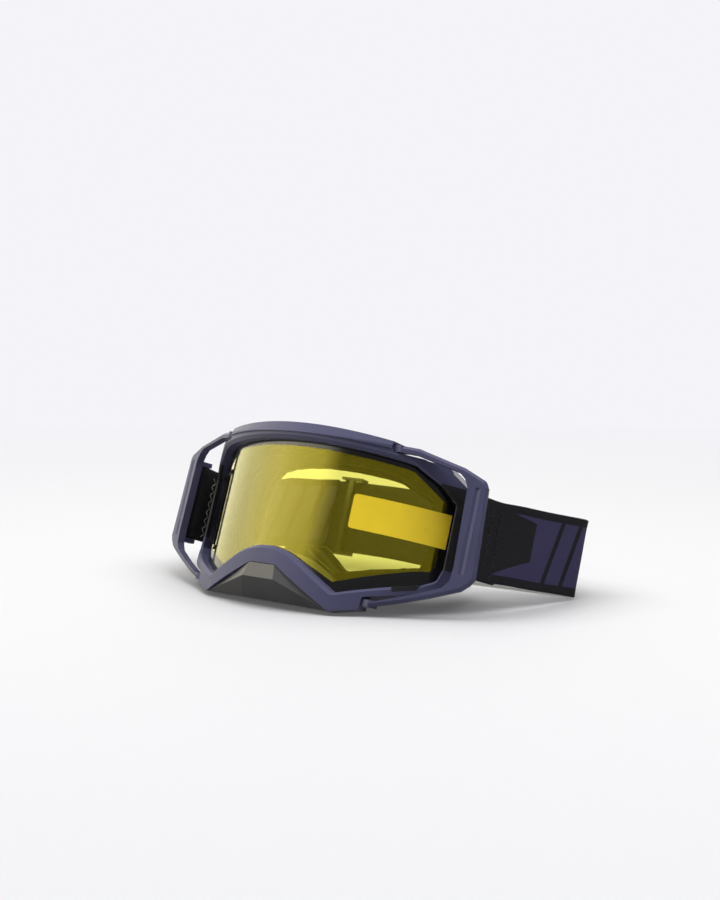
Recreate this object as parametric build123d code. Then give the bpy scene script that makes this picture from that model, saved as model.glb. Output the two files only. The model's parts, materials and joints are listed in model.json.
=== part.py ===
"""Sports protective goggles: cylindrical lens in an open front frame, swinging strap outriggers,
layered face foam and an adjustable elastic strap.

Every piece is modelled in the goggles' own upright frame: +X to the wearer's left, +Y back towards
the face, +Z up. The lens is a piece of a vertical cylinder. At the end all pieces are leaned back
together, as the goggles lie on a table.
"""
from build123d import *
from math import asin, atan2, cos, degrees, hypot, radians, sin, sqrt, tan
import os

os.makedirs("parts", exist_ok=True)

# ---------------------------------------------------------------- driving dimensions (mm, degrees)
# Lens stack, all on one vertical cylinder axis
LENS_APEX_Y = -3.0
LENS_RADIUS = 95.0
LENS_THICK = 1.6
SEAL_GAP = 0.04
SEAL_THICK = 1.0
FLANGE_THICK = 2.2
LENS_FIT = 0.25
LENS_SIDE_GAP = 2.2
BORDER_TOP = 2.6
BORDER_LOW = 0.8
BORDER_SIDE = 3.2
BORDER_LOW_CORNER = (-4.2, 4.6)
BORDER_CHEEK = (0.6, 5.8)
LABEL_THICK = 0.2
LABEL_X = 37.7
LABEL_TOP_Z = 15.8
LABEL_LOW_Z = -1.4
LABEL_SAG = 0.7
LABEL_ROUND = 1.6
LABEL_EDGE_GAP = 1.0

# Eye opening of the front frame, right half; steps are (x, z) from the point before
EYE_TOP_Z = 38.2
EYE_TOP_ARCH = 2.8
EYE_TOP_HALF = 57.0
EYE_SHOULDER_STEP = (5.5, -0.8)
EYE_SIDE_X = 79.4
EYE_CORNER_IN = 6.4
EYE_CORNER_DROP = 10.6
EYE_SIDE_DROP = 18.2
EYE_SIDE_LOW_Z = -12.0
EYE_JAW_STEP = (-1.4, -6.4)
EYE_CHEEK_STEP = (-6.2, -10.2)
EYE_LOW_X = 40.0
NOSE_APEX_Z = -16.9
NOSE_HALF = 20.0
NOSE_FLANK_ANGLE = 31.0
OUTLINE_ROUND = 3.0
CLEAR_ROUND = 2.0

# Front frame
RIM_DEPTH = 5.5
RIM_BEVEL_IN = 1.6
STEP_ROUND = 0.7
SOFT_TURN = 20.0
LOOP_TURN = 26.0
HARD_TURN = 35.0
STRUT_DEPTH = 3.2
STRUT_WIDTH = 3.8
RIM_TOP_WIDTH = 3.2
RIM_TOP_END_DROP = 1.2
RIM_CORNER = (-5.6, -0.8)
RIM_SIDE_DROP = 9.8
RIM_NOSE_WIDTH = 9.2
RIM_CHEEK_WIDTH = 4.4
RIM_STEP_HEIGHT = 3.8
SKIRT_DEPTH = 7.0
SKIRT_THICK = 1.4
SKIRT_CLEARANCE = 0.05
SKIRT_HALF = 58.0
BAND_DEPTH = 2.2
BAND_FIT = 0.02
BAND_TOP_Z = 19.6
BAND_LOW_Z = -12.6
BADGE_X = 64.2
BADGE_WIDTH = 8.6
BADGE_DROP = 2.9
BADGE_THICK = 1.2
BADGE_SUNK = 0.7
BADGE_FIT = 0.1

# Brow bar, the cap over the top of the frame
BAR_HALF = 52.4
BAR_HEIGHT = 5.4
BAR_END_DROP = 2.9
BAR_DEPTH = 9.0
BAR_SLOPE_DEPTH = 4.0
BAR_PROUD = 0.8
BAR_STEP = 0.6

# Inner frame, the soft tub between lens and foam
TUB_GROW = 1.6
TUB_SIDE_IN = 1.2
TUB_WALL = 2.2
FACE_DEPTH = 33.0
FACE_RADIUS = 92.0
FOAM_BASE = 3.0
FOAM_CORE = 9.0
FOAM_FACE = 4.0
FOAM_LAND = 3.2
CORE_GROW = 0.6
TEMPLE_Y = 68.0
CHEEK_X = 38.0
CHEEK_ANGLE = 14.0
REAR_LIP = 1.6
VENT_LENGTH = 17.0
VENT_WIDTH = 5.0
VENT_PITCH = 22.0
VENT_COUNT = 4
VENT_SETBACK = 12.0
VENT_FOAM_THICK = 1.5

# View port through the foam, right half
PORT_TOP_Z = 31.5
PORT_TOP_ARCH = 2.5
PORT_TOP_HALF = 40.0
PORT_CORNER = (57.0, 20.0)
PORT_SIDE_X = 63.0
PORT_SIDE_Z = 8.0
PORT_CHEEK = (58.0, -10.5)
PORT_LOW = (21.0, -20.0)
PORT_NOSE_Z = -9.0
PORT_NOSE_HALF = 7.0
PORT_ROUND = 5.0
PORT_FLARE = 4.5

# Nose guard: a faceted shell with its crest between seam and bottom edge
GUARD_THICK = 2.0
GUARD_TOP_HALF = 8.0
GUARD_SEAM = 0.3
GUARD_CREST_HALF = 10.0
GUARD_CREST_DROP = 7.6
GUARD_CREST_PROUD = 1.2
GUARD_FOOT_HALF = 13.0
GUARD_FOOT_BACK = 5.2
GUARD_END_BACK = 0.8
GUARD_LIP = 6.0

# Outriggers, right hand
HINGE_X = 49.0
HINGE_SETBACK = 6.95
EYE_RADIUS = 3.4
EYE_REACH = 8.0
EYE_BLEND = 0.5
KNUCKLE_HEIGHT = 3.4
KNUCKLE_RISE = 4.3
PIN_RADIUS = 1.1
PIN_CLEARANCE = 0.06
PIN_FIT = 0.02
PIN_GRIP = 2.2
PIN_ROOT = 1.2
MOVE_CLEARANCE = 0.4
ARM_ANGLE = 24.0
ARM_THICK = 4.0
ARM_X = 98.0
ARM_SETBACK = 15.0
ARM_HEIGHT = 3.3
ARM_SHOULDER_X = 65.4
ARM_BEND = (87.4, 36.9)
ARM_LOW_BEND = (84.0, -27.6)
ARM_LOW_SHOULDER = (71.0, -33.0)
BAR_TOP_Z = 32.2
BAR_LOW_Z = -15.2
BAR_OUT_X = 101.4
BAR_WIDTH = 10.2
BAR_BEVEL = 1.5
BAR_CORNER_ROUND = 2.4
GROOVE_IN = 3.6
GROOVE_DEPTH = 0.6
GROOVE_WIDTH = 3.0
SWING_IN = 5.0
SWING_OUT = 12.0

# Strap
STRAP_WIDTH = 40.0
STRAP_THICK = 1.5
STRAP_BAR_RADIUS = 1.8
STRAP_BAR_GAP = 2.8
STRAP_BAR_IN = 2.2
STRAP_Z = 5.8
STRAP_CLEARANCE = 0.3
LOOP_CLEARANCE = 0.15
SLOT_SIDE_GAP = 0.4
EAR_THICK = 2.4
EAR_WIDTH = 5.0
SEWN_LENGTH = 16.0
SHORT_WIDTH = 36.0

# Slider and ring on the strap
SLIDER_LENGTH = 14.0
SLIDER_BAR = 3.0
SLIDER_RIM = 1.4
SLIDER_BAR_THICK = 2.0
SLIDER_GAP = 0.4
RING_LENGTH = 12.0
RING_BAR = 2.4
RING_REACH = 31.0
RING_Z = 7.4
SLIDER_TRAVEL_IN = 6.0
SLIDER_TRAVEL_OUT = 24.0

# Route of the strap in plan, seen from above
SLIDER_X = -33.0
SLIDER_Y = 91.8
RUN_ANGLE = 4.9
RUN_Z = 17.3
RUN_LENGTH = 95.0
CORNER_CENTRE = (108.0, 97.9)
CORNER_RADIUS = 6.0
CORNER_Z = 11.6
TIP_RISE = 1.8
RIGHT_STRAP_ANGLE = 73.0
LEFT_STRAP_ANGLE = 87.0
LEFT_BEND_RADIUS = 17.0
LEFT_BEND_Z = 9.4

# Rest pose
LEAN = 19.9

# ---------------------------------------------------------------- values worked out from them
TALL = 200.0
DEEP = 160.0
LENS_AXIS_Y = LENS_RADIUS + LENS_APEX_Y
RIM_FRONT_R = LENS_RADIUS + RIM_DEPTH
SEAL_FRONT_R = LENS_RADIUS - LENS_THICK
FLANGE_FRONT_R = SEAL_FRONT_R - SEAL_THICK
FLANGE_BACK_R = FLANGE_FRONT_R - FLANGE_THICK
LENS_SIDE_X = EYE_SIDE_X - LENS_SIDE_GAP
TUB_SIDE_X = EYE_SIDE_X - TUB_SIDE_IN
FACE_AXIS_Y = FACE_RADIUS + FACE_DEPTH
FOAM_FRONT_R = FACE_RADIUS + FOAM_BASE + FOAM_CORE + FOAM_FACE
NOSE_ARC_R = NOSE_HALF / sin(radians(NOSE_FLANK_ANGLE))
NOSE_END_Z = NOSE_APEX_Z - NOSE_ARC_R * (1 - cos(radians(NOSE_FLANK_ANGLE)))
EYE_LOW_Z = NOSE_END_Z - (EYE_LOW_X - NOSE_HALF) * tan(radians(NOSE_FLANK_ANGLE))
EYE_TOP_END_Z = EYE_TOP_Z - EYE_TOP_ARCH
RIM_TOP_Z = EYE_TOP_Z + RIM_TOP_WIDTH
RIM_LOW_Z = EYE_LOW_Z - RIM_NOSE_WIDTH
RIM_STEP_X = BAR_HALF + BAR_STEP
STRUT_OUT_X = EYE_SIDE_X + STRUT_WIDTH
SEAM_TOP_Z = NOSE_APEX_Z - RIM_NOSE_WIDTH
KNUCKLE_TOP_Z = EYE_TOP_Z + KNUCKLE_RISE
KNUCKLE_LOW_Z = EYE_LOW_Z
KNUCKLE_LOWS = (KNUCKLE_TOP_Z - KNUCKLE_HEIGHT, KNUCKLE_LOW_Z - KNUCKLE_HEIGHT)
HINGE_Y = LENS_AXIS_Y - sqrt(RIM_FRONT_R ** 2 - HINGE_X ** 2) + HINGE_SETBACK
ARM_Y = HINGE_Y + ARM_SETBACK
LABEL_END_X = LENS_SIDE_X - LABEL_EDGE_GAP
SEWN_REACH = STRAP_BAR_RADIUS + LOOP_CLEARANCE + STRAP_THICK + SEWN_LENGTH
RING_START = RING_REACH - RING_LENGTH / 2


def wall_prism(face, front=-40.0, back=DEEP):
    """A face drawn on XZ, run along Y."""
    return Pos(0, front, 0) * extrude(face, back - front, dir=(0, 1, 0))


def front_prism(face):
    """A face drawn on XZ, run along Y through the front half of the lens cylinder."""
    return wall_prism(face, back=LENS_AXIS_Y)


def tube(axis_y, inner, outer):
    """An upright tube about an axis on the middle plane."""
    return Pos(0, axis_y, 0) * (Cylinder(outer, TALL) - Cylinder(inner, TALL))


def lens_shell(inner, outer):
    return tube(LENS_AXIS_Y, inner, outer)


def face_cylinder(radius):
    return Pos(0, FACE_AXIS_Y, 0) * Cylinder(radius, TALL)


def lens_y(x, radius):
    """Y of the front of a cylinder about the lens axis, at x."""
    return LENS_AXIS_Y - sqrt(radius ** 2 - x ** 2)


def step_from(point, step):
    return (point[0] + step[0], point[1] + step[1])


def rounded(face, points, radius, least_turn=SOFT_TURN):
    """Rounds the corners at which a line of (x, z) points turns sharply, on both sides of the middle."""
    corners = []
    for before, point, after in zip(points, points[1:], points[2:]):
        arriving = Vector(point[0] - before[0], point[1] - before[1])
        leaving = Vector(after[0] - point[0], after[1] - point[1])
        if arriving.get_angle(leaving) > least_turn:
            corners.append(point)
    picked = []
    for vertex in face.vertices():
        if any(hypot(abs(vertex.X) - abs(x), vertex.Z - z) < 0.01 for x, z in corners):
            picked.append(vertex)
    return fillet(picked, radius)


def symmetric_face(right, top_z, low_z=None):
    """A face from its right-hand points: an arc over the top, and an arc or a line across the bottom."""
    left = [(-x, z) for x, z in reversed(right)]
    with BuildLine(Plane.XZ) as line:
        ThreePointArc(left[-1], (0, top_z), right[0])
        Polyline(*right)
        if low_z is None:
            Line(right[-1], left[0])
        else:
            ThreePointArc(right[-1], (0, low_z), left[0])
        Polyline(*left)
    return Sketch() + make_face(line.line)


def eye_outline(top, low, side_x, low_shift=(0, 0), cheek_shift=(0, 0), radius=0, least_turn=SOFT_TURN):
    """The goggle-shaped outline, grown by top and low, with its sides at side_x; 0 leaves it sharp."""
    side_in = side_x - EYE_SIDE_X
    side_low = (EYE_SIDE_X, EYE_SIDE_LOW_Z)
    shoulder = step_from((EYE_TOP_HALF, EYE_TOP_END_Z), EYE_SHOULDER_STEP)
    jaw = step_from(side_low, EYE_JAW_STEP)
    cheek = step_from(side_low, EYE_CHEEK_STEP)
    right = [
        (EYE_TOP_HALF, EYE_TOP_END_Z + top),
        (shoulder[0] + side_in / 3, shoulder[1] + top),
        (side_x - EYE_CORNER_IN, EYE_TOP_Z - EYE_CORNER_DROP + top * 0.6),
        (side_x, EYE_TOP_Z - EYE_SIDE_DROP),
        (side_x, EYE_SIDE_LOW_Z),
        (jaw[0] + side_in, jaw[1] - low * 0.4 + cheek_shift[1] * 0.6),
        (cheek[0] + side_in + cheek_shift[0], cheek[1] - low + cheek_shift[1]),
        (EYE_LOW_X + low_shift[0], EYE_LOW_Z - low + low_shift[1]),
        (NOSE_HALF, NOSE_END_Z - low),
    ]
    face = symmetric_face(right, EYE_TOP_Z + top, NOSE_APEX_Z - low)
    return rounded(face, right, radius, least_turn) if radius else face


def lens_outline():
    return eye_outline(TUB_GROW - LENS_FIT, TUB_GROW - LENS_FIT, LENS_SIDE_X)


def clear_outline(grow=0.0, radius=0):
    """The see-through part of the lens inside its black border."""
    return eye_outline(grow - BORDER_TOP, grow - BORDER_LOW, LENS_SIDE_X - BORDER_SIDE + grow,
                       BORDER_LOW_CORNER, BORDER_CHEEK, radius, HARD_TURN)


def tub_outline(grow=0.0, radius=0):
    return eye_outline(TUB_GROW + grow, TUB_GROW + grow, TUB_SIDE_X + grow, radius=radius,
                       least_turn=HARD_TURN)


def port_opening(grow, radius=0):
    """The way through foam and inner frame, kept inside the foam's land along the tub wall."""
    right = [
        (PORT_TOP_HALF, PORT_TOP_Z - PORT_TOP_ARCH + grow),
        (PORT_CORNER[0] + grow, PORT_CORNER[1] + grow),
        (PORT_SIDE_X + grow, PORT_SIDE_Z),
        (PORT_CHEEK[0] + grow, PORT_CHEEK[1] - grow),
        (PORT_LOW[0], PORT_LOW[1] - grow),
        (PORT_NOSE_HALF, PORT_NOSE_Z - grow),
    ]
    face = symmetric_face(right, PORT_TOP_Z + grow)
    if radius:
        face = rounded(face, right, radius)
    return wall_prism(face) & wall_prism(tub_outline(-FOAM_LAND))


def lean_line(y, z):
    """Height of a point above the table, before the table's own height is taken off."""
    return z * cos(radians(LEAN)) - y * sin(radians(LEAN))


FLOOR_DEPTH = -lean_line(lens_y(EYE_LOW_X, LENS_RADIUS), RIM_LOW_Z)


def table_block(clearance):
    """Everything lower than the table top plus a clearance, rising outwards past the cheeks."""
    block = Pos(0, DEEP / 2, -DEEP / 2) * Box(3 * DEEP, 3 * DEEP, DEEP)
    drop = (clearance - FLOOR_DEPTH) / cos(radians(LEAN))
    low = Pos(0, 0, drop) * Rot(LEAN, 0, 0) * block
    for side in (-1, 1):
        rolled = Pos(side * CHEEK_X, 0, drop) * Rot(LEAN, 0, 0) * Rot(0, -side * CHEEK_ANGLE, 0)
        low = low + rolled * block
    return low


def on_radius(edge, radius):
    """True for an edge that lies on a cylinder about the lens axis."""
    return all(abs(hypot((edge @ t).X, (edge @ t).Y - LENS_AXIS_Y) - radius) < 1e-3 for t in (0.0, 0.5, 1.0))


# ---------------------------------------------------------------- lens stack
def make_lens():
    return lens_shell(SEAL_FRONT_R, LENS_RADIUS) & front_prism(lens_outline())


def make_seal():
    ring = front_prism(lens_outline()) - front_prism(clear_outline(0.0, CLEAR_ROUND))
    return lens_shell(FLANGE_FRONT_R, SEAL_FRONT_R - SEAL_GAP) & ring


def make_label():
    with BuildSketch(Plane.XZ) as sk:
        with BuildLine():
            Polyline((LABEL_X, LABEL_TOP_Z), (LABEL_X, LABEL_LOW_Z), (LABEL_END_X, LABEL_LOW_Z - LABEL_SAG),
                     (LABEL_END_X, LABEL_TOP_Z - LABEL_SAG), close=True)
        make_face()
        fillet(sk.vertices().sort_by(Axis.X)[0:2], LABEL_ROUND)
    return lens_shell(LENS_RADIUS, LENS_RADIUS + LABEL_THICK) & front_prism(sk.sketch)


# ---------------------------------------------------------------- front frame
def rim_outline():
    """Outer boundary of the front frame, with the steps that the hinges sit behind."""
    gap_top = KNUCKLE_TOP_Z - KNUCKLE_HEIGHT - MOVE_CLEARANCE
    gap_low = KNUCKLE_LOW_Z + MOVE_CLEARANCE
    jaw = step_from((EYE_SIDE_X, EYE_SIDE_LOW_Z), EYE_JAW_STEP)
    cheek = step_from((EYE_SIDE_X, EYE_SIDE_LOW_Z), EYE_CHEEK_STEP)
    right = [
        (RIM_STEP_X, RIM_TOP_Z - RIM_TOP_END_DROP),
        (RIM_STEP_X + 1.6, gap_top - 0.1),
        (EYE_SIDE_X + RIM_CORNER[0], gap_top + RIM_CORNER[1]),
        (STRUT_OUT_X, EYE_TOP_Z - RIM_SIDE_DROP),
        (STRUT_OUT_X, EYE_SIDE_LOW_Z - 1.0),
        (jaw[0] + 3.0, jaw[1] - 3.0),
        (cheek[0] + 1.8, cheek[1] - RIM_CHEEK_WIDTH),
        (RIM_STEP_X + 7.0, gap_low + 2.4),
        (RIM_STEP_X + 0.6, gap_low + 0.5),
        (RIM_STEP_X, RIM_LOW_Z + RIM_STEP_HEIGHT),
        (EYE_LOW_X, RIM_LOW_Z),
        (GUARD_TOP_HALF, SEAM_TOP_Z),
    ]
    return rounded(symmetric_face(right, RIM_TOP_Z), right, STEP_ROUND)


def badge_outline(fit=0.0):
    """Notch in the lower rim for a small blank plate, along the rim's own slope."""
    cheek = step_from((EYE_SIDE_X, EYE_SIDE_LOW_Z), EYE_CHEEK_STEP)
    slope = (cheek[1] - EYE_LOW_Z) / (cheek[0] - EYE_LOW_X)
    start_z = EYE_LOW_Z + slope * (BADGE_X - EYE_LOW_X)
    end_x = BADGE_X + BADGE_WIDTH
    end_z = start_z + slope * BADGE_WIDTH
    with BuildLine(Plane.XZ) as line:
        Polyline((BADGE_X - 1.0 + fit, start_z - fit), (BADGE_X + fit, start_z - BADGE_DROP + fit),
                 (end_x - fit, end_z - BADGE_DROP + fit), (end_x + 1.0 - fit, end_z - fit), close=True)
    return make_face(line.line)


def strut_zone(top_z, low_z):
    return Pos(0, 0, (top_z + low_z) / 2) * Box(3 * DEEP, 3 * DEEP, top_z - low_z)


def band_zone():
    """The front of the side struts, where the soft bands lie."""
    return lens_shell(RIM_FRONT_R - BAND_DEPTH, RIM_FRONT_R + 1.0) & strut_zone(BAND_TOP_Z, BAND_LOW_Z)


def make_rim():
    opening = front_prism(eye_outline(0, 0, EYE_SIDE_X, radius=OUTLINE_ROUND))
    rim = ((front_prism(rim_outline()) - opening) & lens_shell(LENS_RADIUS, RIM_FRONT_R)).solid()
    inside = eye_outline(1.0, 1.0, EYE_SIDE_X + 1.0).face()
    front_edges = [e for e in rim.edges() if on_radius(e, RIM_FRONT_R)]
    inner = [e for e in front_edges if inside.is_inside(Vector((e @ 0.5).X, 0, (e @ 0.5).Z))]
    rim = rim.chamfer(RIM_BEVEL_IN, None, inner)
    # The side struts are thinner than the rim, so they stand clear of the lens ends.
    thin = lens_shell(LENS_RADIUS - 1.0, RIM_FRONT_R - STRUT_DEPTH)
    return rim - (thin & strut_zone(EYE_TOP_Z - EYE_SIDE_DROP + 2.0, EYE_SIDE_LOW_Z - 2.0))


def make_front_frame(rim):
    frame = rim - band_zone()
    badge_back = RIM_FRONT_R - BADGE_SUNK - BADGE_THICK - BADGE_FIT
    frame = frame - (lens_shell(badge_back, RIM_FRONT_R + 1.0) & front_prism(badge_outline()))
    inner = front_prism(tub_outline(SKIRT_CLEARANCE))
    skirt = front_prism(tub_outline(SKIRT_CLEARANCE + SKIRT_THICK)) - inner
    skirt = skirt & lens_shell(LENS_RADIUS - SKIRT_DEPTH, LENS_RADIUS + 0.5)
    return frame + (skirt & Box(2 * SKIRT_HALF, 3 * DEEP, TALL))


def make_side_band(rim, side):
    """Soft band moulded over the front of a side strut."""
    half = Pos(side * DEEP, 0, 0) * Box(2 * DEEP, 3 * DEEP, TALL)
    zone = lens_shell(RIM_FRONT_R - BAND_DEPTH + BAND_FIT, RIM_FRONT_R + 1.0)
    zone = zone & strut_zone(BAND_TOP_Z - BAND_FIT, BAND_LOW_Z + BAND_FIT)
    return rim & zone & half


def make_badge():
    shell = lens_shell(RIM_FRONT_R - BADGE_SUNK - BADGE_THICK, RIM_FRONT_R - BADGE_SUNK)
    return shell & front_prism(badge_outline(BADGE_FIT))


def make_brow_bar():
    end_low = RIM_TOP_Z - RIM_TOP_END_DROP
    end_top = RIM_TOP_Z + BAR_HEIGHT - BAR_END_DROP
    with BuildLine(Plane.XZ) as line:
        ThreePointArc((-RIM_STEP_X, end_low), (0, RIM_TOP_Z), (RIM_STEP_X, end_low))
        Line((RIM_STEP_X, end_low), (RIM_STEP_X, end_top))
        ThreePointArc((RIM_STEP_X, end_top), (0, RIM_TOP_Z + BAR_HEIGHT), (-RIM_STEP_X, end_top))
        Line((-RIM_STEP_X, end_top), (-RIM_STEP_X, end_low))
    front = RIM_FRONT_R + BAR_PROUD
    bar = front_prism(make_face(line.line)) & lens_shell(RIM_FRONT_R - BAR_DEPTH, front)
    slope = Cone(front + 0.6, front - BAR_SLOPE_DEPTH, 2 * BAR_HEIGHT)
    return bar & (Pos(0, LENS_AXIS_Y, end_low + BAR_HEIGHT) * slope)


# ---------------------------------------------------------------- inner frame and foam
def tub_body(grow, lift, radius=0):
    """The prism of the tub, trimmed where it would reach below the table and at the temples."""
    return wall_prism(tub_outline(grow, radius), back=TEMPLE_Y) - table_block(lift)


def make_inner_frame():
    body = tub_body(0.0, 1.0, OUTLINE_ROUND) & (Pos(0, LENS_AXIS_Y, 0) * Cylinder(FLANGE_FRONT_R, TALL))
    body = body - face_cylinder(FOAM_FRONT_R)
    lip = face_cylinder(FOAM_FRONT_R + REAR_LIP)
    hollow = wall_prism(tub_outline(-TUB_WALL), back=TEMPLE_Y) - table_block(1.0 + TUB_WALL)
    hollow = (hollow & (Pos(0, LENS_AXIS_Y, 0) * Cylinder(FLANGE_BACK_R, TALL))) - lip
    tub = body - hollow
    tub = tub - (wall_prism(clear_outline(0.6)) - lip)
    tub = tub - (port_opening(PORT_FLARE) & lip)
    for vent in top_vent_slots():
        tub = tub - vent
    return tub


def top_vent_slots():
    slots = []
    for index in range(VENT_COUNT):
        x = (index - (VENT_COUNT - 1) / 2) * VENT_PITCH
        y = lens_y(x, LENS_RADIUS) + VENT_SETBACK + VENT_WIDTH / 2
        turn = degrees(asin(x / LENS_RADIUS))
        slots.append(Pos(x, y, EYE_TOP_Z) * Rot(0, 0, turn) * Box(VENT_LENGTH, VENT_WIDTH, 4 * TUB_WALL))
    return slots


def foam_layer(inner, thick, grow, lift, flare, radius=0):
    """One layer of the face foam, between two cylinders about the face axis."""
    ring = tub_body(grow, lift) - port_opening(flare, radius)
    return ring & tube(FACE_AXIS_Y, inner, inner + thick)


def make_vent_foam():
    """Open-cell strip that lies on the top wall, over the vent slots."""
    ring = front_prism(tub_outline(VENT_FOAM_THICK)) - front_prism(tub_outline())
    back_r = LENS_RADIUS - VENT_SETBACK - VENT_WIDTH - 2.0
    strip = ring & lens_shell(back_r, LENS_RADIUS - SKIRT_DEPTH - 0.5)
    strip = strip - face_cylinder(FOAM_FRONT_R)
    keep = Pos(0, 0, EYE_TOP_Z) * Box(VENT_COUNT * VENT_PITCH + 4.0, 2 * DEEP, VENT_LENGTH)
    return strip & keep


# ---------------------------------------------------------------- nose guard
def behind(a, b, c):
    """Everything behind the plane through three points."""
    normal = (Vector(*b) - Vector(*a)).cross(Vector(*c) - Vector(*a)).normalized()
    if normal.Y < 0:
        normal = -normal
    return Plane(origin=a, z_dir=normal).location * Pos(0, 0, DEEP / 2) * Box(3 * DEEP, 3 * DEEP, DEEP)


def guard_body(back):
    """Solid behind the guard's six facets, moved back by a distance."""
    front = lens_y(GUARD_TOP_HALF, RIM_FRONT_R) + back
    top_z = SEAM_TOP_Z
    crest_z = SEAM_TOP_Z - GUARD_CREST_DROP
    end_y = lens_y(EYE_LOW_X, RIM_FRONT_R) + GUARD_END_BACK + back
    body = None
    for side in (-1, 1):
        top = (side * GUARD_TOP_HALF, front, top_z)
        crest = (side * GUARD_CREST_HALF, front - GUARD_CREST_PROUD, crest_z)
        foot = (side * GUARD_FOOT_HALF, front + GUARD_FOOT_BACK, RIM_LOW_Z)
        end = (side * EYE_LOW_X, end_y, RIM_LOW_Z)
        flank = behind(top, crest, end) & behind(crest, foot, end)
        body = flank if body is None else body & flank
    middle_top = (0.0, front, top_z)
    middle_foot = (0.0, front + GUARD_FOOT_BACK, RIM_LOW_Z)
    return body & behind(middle_top, top, crest) & behind(middle_foot, foot, crest)


def make_nose_guard():
    run = (EYE_LOW_X - GUARD_TOP_HALF) / (SEAM_TOP_Z - RIM_LOW_Z)
    top_z = SEAM_TOP_Z - GUARD_SEAM
    low_x = EYE_LOW_X - GUARD_SEAM * run
    with BuildLine(Plane.XZ) as line:
        Polyline((GUARD_TOP_HALF, top_z), (low_x, RIM_LOW_Z), (-low_x, RIM_LOW_Z), (-GUARD_TOP_HALF, top_z),
                 close=True)
    blank = front_prism(make_face(line.line))
    lip_zone = Pos(0, 0, RIM_LOW_Z) * Box(3 * DEEP, 3 * DEEP, 2 * GUARD_THICK)
    hollow = guard_body(GUARD_THICK) - (lip_zone - guard_body(GUARD_LIP))
    return blank & (guard_body(0.0) - hollow)


# ---------------------------------------------------------------- outriggers
def arm_frame(along, back):
    """Plan position from the reference point on the arm's front face: outward along it, then back."""
    a = radians(ARM_ANGLE)
    return (ARM_X + along * cos(a) - back * sin(a), ARM_Y + along * sin(a) + back * cos(a))


def arm_at(x):
    """Distance along the arm's front face at which it reaches x."""
    return (x - ARM_X) / cos(radians(ARM_ANGLE))


def eye_blend():
    """Plan of the short block between a hinge eye and the flared arm."""
    root = HINGE_X + 1.0
    along = arm_at(HINGE_X + EYE_REACH)
    half = EYE_RADIUS - EYE_BLEND
    with BuildLine() as line:
        Polyline((root, HINGE_Y - half), arm_frame(along, 0), arm_frame(along + ARM_THICK, ARM_THICK),
                 (root, HINGE_Y + half), close=True)
    return make_face(line.line)


def loop_faces(clearance=0.0):
    """Outer face and window of the outrigger, drawn in the plane of its arm: (x seen from the front, z)."""
    root = HINGE_X + EYE_REACH
    inner_x = BAR_OUT_X - BAR_WIDTH
    low = KNUCKLE_LOW_Z
    high = KNUCKLE_TOP_Z - KNUCKLE_HEIGHT
    outer = [
        (root, KNUCKLE_TOP_Z), (ARM_SHOULDER_X, KNUCKLE_TOP_Z - 0.1), ARM_BEND,
        (BAR_OUT_X - 3.7, BAR_TOP_Z), (BAR_OUT_X - 2.1, BAR_TOP_Z - 3.2), (BAR_OUT_X, BAR_LOW_Z),
        (BAR_OUT_X - 2.0, BAR_LOW_Z - 3.4), (BAR_OUT_X - 5.4, BAR_LOW_Z - 6.8), ARM_LOW_BEND,
        ARM_LOW_SHOULDER, (root, low - KNUCKLE_HEIGHT),
    ]
    window = [
        (root - ARM_THICK, low), (root + 3.0, low), (ARM_LOW_SHOULDER[0] + 4.0, ARM_LOW_SHOULDER[1] + 4.8),
        (ARM_LOW_BEND[0] + 3.5, ARM_LOW_BEND[1] + 5.3), (inner_x - 0.8, BAR_LOW_Z - 3.3),
        (inner_x - 0.2, BAR_LOW_Z + 4.0), (inner_x - 1.2, BAR_TOP_Z - 4.5), (inner_x - 3.0, BAR_TOP_Z - 0.6),
        (ARM_BEND[0] - 2.2, ARM_BEND[1] - 2.6), (ARM_SHOULDER_X - 0.4, high), (root - ARM_THICK, high),
    ]
    faces = []
    for points, grow in ((outer, clearance), (window, -clearance)):
        flat = [(arm_at(x), z) for x, z in points]
        with BuildLine(Plane.XZ) as line:
            Polyline(*flat, close=True)
        face = Sketch() + make_face(line.line)
        if clearance:
            faces.append(offset(face, grow, kind=Kind.INTERSECTION))
        else:
            faces.append(rounded(face, flat, BAR_CORNER_ROUND, LOOP_TURN))
    return faces


def arm_plate(clearance=0.0):
    """The flared plate of the outrigger with its bevelled outer edge, window and the valley down its bar."""
    outer, window = loop_faces(clearance)
    plate = wall_prism(outer, -clearance, ARM_THICK + clearance)
    if not clearance:
        front_edges = plate.edges().filter_by_position(Axis.Y, -0.001, 0.001)
        plate = plate.solid().chamfer(BAR_BEVEL, None, front_edges.sort_by(Axis.X)[1:])
        with BuildLine() as line:
            Polyline((-GROOVE_IN - GROOVE_WIDTH / 2, 0), (-GROOVE_IN + GROOVE_WIDTH / 2, 0),
                     (-GROOVE_IN, GROOVE_DEPTH), close=True)
        valley = extrude(make_face(line.line), BAR_TOP_Z - BAR_LOW_Z - 5.0)
        plate = plate - Pos(0, 0, BAR_LOW_Z + 1.0) * valley
    return Pos(ARM_X, ARM_Y, 0) * Rot(0, 0, ARM_ANGLE) * (plate - wall_prism(window))


def strap_bar_spot():
    """Plan position of the strap bar's centre, behind the upright bar."""
    return arm_frame(-STRAP_BAR_IN, ARM_THICK + STRAP_BAR_GAP + STRAP_BAR_RADIUS)


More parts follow.
